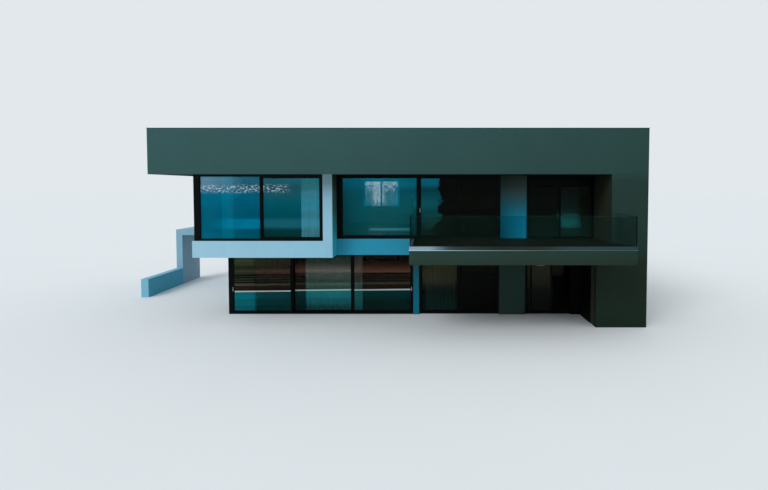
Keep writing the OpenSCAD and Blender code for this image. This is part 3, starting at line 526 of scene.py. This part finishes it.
def layered_tint(upper_foot, foot, rows, warm, warm_low, top):
    """What a living room pane mirrors, painted: teal foot, bright line, dark band, thin line,
    rows, a warm band that starts at warm_low, and the top."""
    return [(0.0, foot), (0.18, foot), (0.3, upper_foot), (0.36, upper_foot),
            (0.366, BRIGHT_LINE), (0.381, BRIGHT_LINE), (0.386, DARK_BAND), (0.466, DARK_BAND),
            (0.471, THIN_LINE), (0.483, THIN_LINE), (0.488, rows), (warm_low, rows),
            (warm_low + 0.02, warm), (0.7, warm), (0.76, shaded(warm, 0.4)),
            (0.85, top), (1.0, top)]


LIVING_TINT_LEFT = layered_tint(srgb(8, 122, 136), srgb(14, 110, 122), srgb(86, 92, 70),
                                srgb(70, 76, 54), 0.56, srgb(78, 90, 60))
LIVING_TINT_NEAR = layered_tint(srgb(14, 82, 86), srgb(12, 60, 62), srgb(88, 82, 64), srgb(94, 76, 58),
                                0.6, srgb(66, 68, 50))
LIVING_TINT = layered_tint(srgb(10, 66, 64), srgb(12, 46, 43), srgb(80, 68, 54), srgb(122, 82, 64),
                           0.64, srgb(22, 20, 12))
GARDEN_TINT_LEFT = [(0.0, srgb(8, 42, 38)), (0.35, srgb(8, 28, 22)), (0.42, srgb(38, 42, 31)),
                    (0.5, srgb(64, 66, 48)), (0.64, srgb(76, 76, 52)), (1.0, srgb(70, 68, 46))]
GARDEN_TINT_RIGHT = [(0.0, srgb(14, 17, 15)), (0.6, srgb(18, 21, 17)), (0.8, srgb(30, 35, 27)),
                     (1.0, srgb(26, 30, 23))]
TERRACE_TINT = [(0.0, srgb(32, 40, 36)), (0.37, srgb(32, 36, 29)), (0.5, srgb(62, 66, 52)),
                (0.64, srgb(72, 76, 60)), (1.0, srgb(74, 76, 60))]


# How far a pull bar and the rear door's lever stand off the face behind them
BAR_REACH, LEVER_REACH = 0.042, 0.053
PAINT_MARGIN = 0.001
SAME_PLACE = 0.0001


def pull_bar_plane(node):
    """Plane just in front of the frame in a node, past which only its pull bar reaches."""
    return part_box(node)[0].y + BAR_REACH - PAINT_MARGIN


def panes(node):
    """Lowest and highest corner of each separate pane of a glass node, from left to right."""
    mesh = bmesh.new()
    mesh.from_mesh(frame["nodes"][node].data)
    bmesh.ops.remove_doubles(mesh, verts=mesh.verts, dist=SAME_PLACE)
    left = set(mesh.verts)
    found = []
    while left:
        stack, pane = [left.pop()], []
        while stack:
            vert = stack.pop()
            pane.append(vert.co.copy())
            for edge in vert.link_edges:
                other = edge.other_vert(vert)
                if other in left:
                    left.remove(other)
                    stack.append(other)
        found.append(([min(c[i] for c in pane) for i in range(3)],
                      [max(c[i] for c in pane) for i in range(3)]))
    mesh.free()
    return sorted(found)


def within(pane, start, end):
    """Two X places in a pane, as shares of its width."""
    low, high = pane[0][0], pane[1][0]
    return low + start * (high - low), low + end * (high - low)


BOX_LEFT, BOX_RIGHT = panes("box_window_glass")[-2:]
MID_LIGHT, MID_LEAF = panes("mid_window_glass")[:2]
DOOR_RIGHT = panes("upper_door_glass")[-1]
FAR_LEFT, FAR_RIGHT = [pane for pane in panes("small_window_glass")
                       if pane[0][2] > Z_FLOOR and abs(pane[0][0] - MID_LIGHT[0][0]) < 1.0]
LIVING_MIDDLE, GARDEN_LEFT = panes("ground_fixed_glass")[-3:-1]
LIVING_LEFT, LIVING_RIGHT = panes("living_left_glass")[0], panes("living_right_glass")[0]
MULLION = (BOX_LEFT[1][0], BOX_RIGHT[0][0])
MID_MULLION = (MID_LIGHT[1][0], MID_LEAF[0][0])

# Left and right edge of each curtain
CURTAIN_SPANS = {
    "box_curtain_left": within(BOX_LEFT, 0.36, 0.54),
    "box_curtain_right": within(BOX_RIGHT, 0.68, 1.0),
    "living_curtain": (within(LIVING_MIDDLE, 0.2, 1.0)[0], within(LIVING_RIGHT, 0.0, 0.14)[1]),
    "garden_curtain": within(GARDEN_LEFT, 0.1, 1.06),
}
BOX_VEILS = [(*CURTAIN_SPANS["box_curtain_left"], [(0.0, srgb(0, 60, 70))]),
             (*CURTAIN_SPANS["box_curtain_right"], BOX_CLOTH)]
GROUND_ZONES = [(LIVING_TINT_LEFT, 0.85), (LIVING_TINT_NEAR, 0.66), (LIVING_TINT, 0.6),
                (GARDEN_TINT_LEFT, 0.66), (GARDEN_TINT_RIGHT, 0.75), (TERRACE_TINT, 0.75)]
GROUND_EDGES = [within(LIVING_LEFT, 0.34, 0.4), (LIVING_LEFT[1][0], LIVING_MIDDLE[0][0]),
                (X_COLUMN, X_GARDEN), within(GARDEN_LEFT, 1.0, 1.02), (X_TERRACE - 0.1, X_TERRACE)]
GROUND_VEILS = [(CURTAIN_SPANS["living_curtain"][0], LIVING_MIDDLE[1][0], LIVING_CLOTH_MIDDLE),
                (LIVING_RIGHT[0][0], CURTAIN_SPANS["living_curtain"][1], LIVING_CLOTH)]
# The long window's painted daylight through the far window, and a low painted reflection
MID_VEILS = [(*within(MID_LIGHT, 0.29, 0.76), FAR_LIGHT),
             (*within(MID_LIGHT, 0.36, 0.91), MID_LOW_LINE)]
REAR_DOOR_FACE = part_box("rear_door")[1].y - LEVER_REACH + PAINT_MARGIN
MATERIALS = {
    "white_plaster": plaster("white_plaster", [(0.0, srgb(145, 192, 211))]),
    # The face towards the front is painted light: a lighter, warmer white than the outer face
    "rear_wall": plaster("rear_wall", [(0.0, srgb(145, 192, 211))], room=srgb(228, 220, 204)),
    "box_strip": plaster("box_strip", STRIP, Z_FLOOR, Z_SOFFIT, lee=STRIP_LEE),
    # Painted light: the band is lighter towards its left end; painted shade on its right-hand side
    "box_band": plaster("box_band", [(0.0, srgb(152, 193, 212)), (1.0, srgb(138, 190, 210))],
                        BOX_LEFT[0][0], BOX_RIGHT[1][0], lee=STRIP_LEE[:1], axis="X"),
    "portico": plaster("portico", [(0.0, srgb(135, 177, 196))], lee=[(0.0, (1.0, 0.82, 0.8, 1))]),
    "low_wall": plaster("low_wall", [(0.0, srgb(122, 183, 206))], lee=[(0.0, (0.43, 0.75, 0.8, 1))]),
    # White plaster in a deep blue painted shade, for the set-back band and the other shaded faces
    "mid_band": plaster("mid_band", [(0.0, srgb(41, 141, 171))]),
    "upper_pier": plaster("upper_pier", PIER, Z_FLOOR, Z_SOFFIT),
    "column": plaster("column", COLUMN, 0.0, Z_CEILING),
    "ground_pier": plaster("ground_pier", [(0.0, srgb(40, 62, 56))]),
    # White plaster darkened as painted shade, for the return wall of the set-back band
    "inner_plaster": plaster("inner_plaster", [(0.0, srgb(60, 110, 126))]),
    "dark_render": dark_render(),
    "black_frame": painted_metal("black_frame", BLACK),
    "rubber": painted_metal("rubber", srgb(5, 6, 6), 0.7, 0.03),
    "cladding": painted_metal("cladding", srgb(7, 9, 8), 0.5),
    "coping": painted_metal("coping", srgb(58, 84, 82), 0.45, 0.1),
    "channel": balcony_metal("channel", CHANNEL, 0.12),
    "drip": balcony_metal("drip", DRIP, 0.15),
    "door": frame_with_bar("door", REAR_DOOR_FACE, STEEL, 1),
    "lamp": painted_metal("lamp", srgb(104, 114, 106), 0.35, 0.1),
    "stone": plaster("stone", [(0.0, srgb(150, 152, 150))], grain=260, rough=0.6, cloud=0.85),
    "roof": roof_finish(),
    "floor": floor_finish(),
    "reveal": plaster("reveal", [(0.0, srgb(50, 53, 41))]),
    # Brown boards, darkened further by painted shade
    "deck": wood("deck", srgb(32, 29, 22)),
    "track": painted_metal("track", srgb(190, 196, 198), 0.4, 0.3),
    "sheer": cloth("sheer", srgb(176, 214, 208)),
    "box_glass": glazing("box_glass",
                         [(BOX_TINT_LEFT, 0.8), (BOX_TINT_MIDDLE, 0.72), (BOX_TINT_RIGHT, 0.66)],
                         [within(BOX_LEFT, 0.1, 0.75), MULLION], Z_FLOOR, Z_SOFFIT, gloss=0.015,
                         speckled=(*SPECK_BAND, *within(BOX_RIGHT, 0.4, 0.5)),
                         veils=BOX_VEILS),
    "mid_glass": glazing("mid_glass",
                         [(MID_TINT_LIGHT, 0.46), (MID_TINT_LEAF, 0.92), (MID_TINT_DARK, 0.97)],
                         [MID_MULLION, within(MID_LEAF, 0.42, 0.47)], Z_FLOOR, Z_SOFFIT, ragged=0.25,
                         veils=MID_VEILS),
    "upper_door_glass": glazing("upper_door_glass",
                                [(DOOR_TINT_LEFT, 0.85), (DOOR_TINT_MIDDLE, 0.85),
                                 (DOOR_TINT_RIGHT, 0.85)],
                                [within(DOOR_RIGHT, -0.1, 0.05), within(DOOR_RIGHT, 0.42, 0.64)],
                                Z_FLOOR, Z_SOFFIT, ragged=0.15),
    "ground_glass": glazing("ground_glass", GROUND_ZONES, GROUND_EDGES, Z_GROUND, Z_CEILING,
                            rows=(*FINE_ROWS, X_COLUMN), veils=GROUND_VEILS,
                            bands=(0.55, (0.12, 1, 9)), tilt=(LIVING_LEFT[0][0], X_COLUMN, 0.03)),
    "small_glass": small_window_glass(),
    "rail_glass": rail_glass(),
}
# Leaves with a pull bar; those that stand in shade get the darker steel as painted shade
for leaf, steel in (
        ("living_left_leaf", STEEL), ("living_right_leaf", STEEL), ("mid_window_sashes", STEEL),
        ("garden_leaf", SHADED_STEEL), ("terrace_door_leaf", SHADED_STEEL),
        ("upper_door_frame", SHADED_STEEL)):
    MATERIALS[leaf] = frame_with_bar(leaf, pull_bar_plane(leaf), steel)

LOOK_OF_SLOT = {
    "white_plaster": "white_plaster", "shaded_plaster": "mid_band", "dark_render": "dark_render",
    "floor_finish": "floor", "roof_finish": "roof", "coping": "coping", "deck": "deck",
    "channel_metal": "channel", "drip_metal": "drip", "balustrade_glass": "rail_glass",
    "dark_frame": "black_frame", "window_glass": "ground_glass", "door_paint": "door",
    "lamp_white": "lamp", "cladding": "cladding", "sill_stone": "stone",
}
LOOK_OF_NODE = {
    "white_column": "column", "mid_return_wall": "inner_plaster",
    "rear_ground_wall": "rear_wall", "rear_upper_wall": "rear_wall",
    "box_window_glass": "box_glass", "mid_window_glass": "mid_glass",
    "small_window_glass": "small_glass",
    "box_sill_band": "box_band", "box_right_pier": "box_strip", "door_jamb_wall": "cladding",
    "flank_return_walls": "reveal",
    "portico_side_wall": "portico", "portico_roof_slab": "portico", "portico_low_wall": "low_wall",
}

for row in frame["record"]["subparts"]:
    node = row["node"]
    look = node if node in MATERIALS else LOOK_OF_NODE.get(node, LOOK_OF_SLOT[row["material_slot"]])
    frame["nodes"][node].data.materials.clear()
    frame["nodes"][node].data.materials.append(MATERIALS[look])


def piece(name, mesh, look, body="house"):
    """New piece from a bmesh, dressed and riding on a body."""
    data = bpy.data.meshes.new(name)
    mesh.to_mesh(data)
    mesh.free()
    made = bpy.data.objects.new(name, data)
    bpy.context.scene.collection.objects.link(made)
    data.materials.append(MATERIALS[look])
    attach(made, body)
    return made


def add_block(mesh, low, high):
    corners = [mesh.verts.new((x, y, z)) for x in (low[0], high[0]) for y in (low[1], high[1])
               for z in (low[2], high[2])]
    for face in ((0, 1, 3, 2), (4, 6, 7, 5), (0, 4, 5, 1), (2, 3, 7, 6), (0, 2, 6, 4), (1, 5, 7, 3)):
        mesh.faces.new([corners[i] for i in face])


def soften(made, width):
    bevel = made.modifiers.new("soft_edges", "BEVEL")
    bevel.width = width
    bevel.limit_method = "ANGLE"


# Boards, seals and curtains, in metres
BOARD_W, BOARD_GAP = 0.12, 0.006
BOARD_L = (1.9, 3.4)
BOARD_EDGE = 0.003


def board_span(y0, y1):
    """Left and right end of the balcony's floor in the row from y0 to y1."""
    if y1 <= ROOF_LO.y:
        return PAVING_LO.x, PAVING_HI.x
    if y1 <= Y_MID:
        return PAVING_LO.x, X_FLANK
    return (PAVING_LO.x if y0 < Y_MID else X_PIER), X_FLANK


def balcony_boards():
    """Boards along the balcony in place of the plain CAD slab."""
    mesh = bmesh.new()
    for low, high in ((PAVING_LO.y, ROOF_LO.y), (ROOF_LO.y, Y_MID), (Y_MID, PAVING_HI.y)):
        rows = round((high - low) / (BOARD_W + BOARD_GAP))
        pitch = (high - low) / rows
        for i in range(rows):
            y0 = low + i * pitch
            y1 = y0 + pitch - BOARD_GAP
            x, end = board_span(y0, y1)
            while x < end:
                stop = x + random.uniform(*BOARD_L)
                if end - stop < BOARD_L[0] / 2:
                    stop = end
                add_block(mesh, (x, y0, PAVING_LO.z),
                          (min(stop, end) - BOARD_GAP / 2, y1, PAVING_HI.z))
                x = stop + BOARD_GAP / 2
    made = piece("balcony_boards", mesh, "deck")
    soften(made, BOARD_EDGE)
    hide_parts("balcony_paving")


GASKET_W, GASKET_T = 0.014, 0.008


def gaskets(node, body):
    """Rubber seals round both faces of every pane of a glass node."""
    mesh = bmesh.new()
    for low, high in panes(node):
        thin = 0 if high[0] - low[0] < high[1] - low[1] else 1
        wide = 1 - thin
        for face, out in ((low[thin], -GASKET_T), (high[thin], GASKET_T)):
            seal = sorted((face, face + out))
            for a, b, z0, z1 in (
                    (low[wide], high[wide], low[2], low[2] + GASKET_W),
                    (low[wide], high[wide], high[2] - GASKET_W, high[2]),
                    (low[wide], low[wide] + GASKET_W, low[2] + GASKET_W, high[2] - GASKET_W),
                    (high[wide] - GASKET_W, high[wide], low[2] + GASKET_W, high[2] - GASKET_W)):
                corners = [[0, 0, z0], [0, 0, z1]]
                for corner, along, across in zip(corners, (a, b), seal):
                    corner[wide] = along
                    corner[thin] = across
                add_block(mesh, *corners)
    piece(node.replace("glass", "gaskets"), mesh, "rubber", body)


TRACK_W, TRACK_H = 0.03, 0.022
TRACK_PAST, TRACK_EDGE = 0.05, 0.002
FOLD_W, FOLD_DEPTH = 0.16, 0.05
FOLD_AT_TOP, SWAY = 0.55, 0.012
FOLD_STEPS, DROP_STEPS = 10, 16
# How far the curtains hang behind the set-back wall's inner face and the roof band's front
BEHIND_DOORS, BEHIND_BOX = 0.13, 0.37
HEM = 0.02


def curtain(name, x0, x1, y, z0, z1):
    """Pleated sheer cloth that hangs from a ceiling track."""
    mesh = bmesh.new()
    add_block(mesh, (x0 - TRACK_PAST, y - TRACK_W / 2, z1 - TRACK_H),
              (x1 + TRACK_PAST, y + TRACK_W / 2, z1))
    track = piece(name + "_track", mesh, "track")
    soften(track, TRACK_EDGE)

    mesh = bmesh.new()
    folds = round((x1 - x0) / FOLD_W)
    steps = folds * FOLD_STEPS
    depths = [random.uniform(0.75, 1.1) for _ in range(folds + 2)]
    rows = []
    for j in range(DROP_STEPS + 1):
        drop = j / DROP_STEPS
        row = []
        for i in range(steps + 1):
            fold = i / FOLD_STEPS
            depth = FOLD_DEPTH * depths[int(fold)] * (FOLD_AT_TOP + (1 - FOLD_AT_TOP) * drop)
            sway = SWAY * drop * math.sin(1.7 * fold + 2.0 * drop)
            x = x0 + (x1 - x0) * i / steps + sway
            row.append(mesh.verts.new((x, y + depth * math.sin(2 * math.pi * fold),
                                       z1 - TRACK_H - drop * (z1 - TRACK_H - z0))))
        rows.append(row)
    for upper, lower in zip(rows, rows[1:]):
        for i in range(steps):
            mesh.faces.new((upper[i], lower[i], lower[i + 1], upper[i + 1])).smooth = True
    drop = z1 - TRACK_H - z0
    flat_w = sum(face.calc_area() for face in mesh.faces) / drop
    cloth_piece = piece(name, mesh, "sheer")


def curtains():
    for name, (left, right) in CURTAIN_SPANS.items():
        upstairs = name.startswith("box")
        y = ROOF_LO.y + BEHIND_BOX if upstairs else Y_DEEP_IN + BEHIND_DOORS
        low, high = (Z_FLOOR, Z_SOFFIT) if upstairs else (Z_GROUND, Z_CEILING)
        curtain(name, left, right, y, low + HEM, high)


balcony_boards()
for glass_node, glass_body in (
        ("box_window_glass", "house"), ("mid_window_glass", "house"), ("upper_door_glass", "house"),
        ("ground_fixed_glass", "house"), ("small_window_glass", "house"),
        ("living_left_glass", "living_left_door"), ("living_right_glass", "living_right_door"),
        ("garden_leaf_glass", "garden_door"), ("terrace_door_glass", "terrace_door")):
    gaskets(glass_node, glass_body)
curtains()


def camera():
    data = bpy.data.cameras.new("camera")
    data.sensor_width = SENSOR_MM
    data.lens = FOCAL_PX * SENSOR_MM / PICTURE_W
    data.shift_x = (PICTURE_W / 2 - AXIS_PX[0]) / PICTURE_W
    data.shift_y = (AXIS_PX[1] - PICTURE_H / 2) / PICTURE_W
    data.clip_end = VIEW_END
    eye = bpy.data.objects.new("camera", data)
    eye.location = (ROOF_LO.x + CAMERA_FROM_ROOF_CORNER[0],
                    ROOF_LO.y + CAMERA_FROM_ROOF_CORNER[1], CAMERA_HEIGHT)
    eye.rotation_euler = (math.pi / 2 - CAMERA_PITCH, 0, 0)
    bpy.context.scene.collection.objects.link(eye)
    bpy.context.scene.camera = eye


STAGE_SIZE = 600
FLOOR_COLOUR = srgb(226, 231, 234)
BACKGROUND_COLOUR = srgb(226, 232, 235)
LIGHT_COLOUR = (0.95, 0.98, 1.0, 1)
LIGHT_STRENGTH = 0.8
SUN_STRENGTH = 1.2
SUN_ANGLE = math.radians(30)
SUN_TURN = (math.radians(52), 0, math.radians(-34))


def stage():
    """Pale floor, soft light from all sides and one soft lamp from the upper left."""
    bpy.ops.mesh.primitive_plane_add(size=STAGE_SIZE)
    floor = bpy.context.object
    floor.name = "floor"
    surface = Surface("floor_paint", FLOOR_COLOUR, rough=0.95, gloss=0.05)
    surface.colour(surface.blend(1.0, FLOOR_COLOUR, surface.patches(0.985, 0.2), "MULTIPLY"))
    floor.data.materials.append(surface.material)

    world = bpy.data.worlds.new("world")
    bpy.context.scene.world = world
    world.use_nodes = True
    nodes, links = world.node_tree.nodes, world.node_tree.links
    light = nodes["Background"]
    light.inputs["Color"].default_value = LIGHT_COLOUR
    light.inputs["Strength"].default_value = LIGHT_STRENGTH
    seen = nodes.new("ShaderNodeBackground")
    seen.inputs["Color"].default_value = BACKGROUND_COLOUR
    path = nodes.new("ShaderNodeLightPath")
    mix = nodes.new("ShaderNodeMixShader")
    either = nodes.new("ShaderNodeMath")
    either.operation = "MAXIMUM"
    any_of_three = nodes.new("ShaderNodeMath")
    any_of_three.operation = "MAXIMUM"
    links.new(path.outputs["Is Camera Ray"], either.inputs[0])
    links.new(path.outputs["Is Glossy Ray"], either.inputs[1])
    links.new(either.outputs[0], any_of_three.inputs[0])
    links.new(path.outputs["Is Transmission Ray"], any_of_three.inputs[1])
    links.new(any_of_three.outputs[0], mix.inputs["Fac"])
    links.new(light.outputs[0], mix.inputs[1])
    links.new(seen.outputs[0], mix.inputs[2])
    links.new(mix.outputs[0], nodes["World Output"].inputs["Surface"])

    sun = bpy.data.lights.new("soft_sun", "SUN")
    sun.energy = SUN_STRENGTH
    sun.angle = SUN_ANGLE
    lamp = bpy.data.objects.new("soft_sun", sun)
    lamp.rotation_euler = SUN_TURN
    bpy.context.scene.collection.objects.link(lamp)
    bpy.context.scene.view_settings.view_transform = "Standard"


camera()
stage()
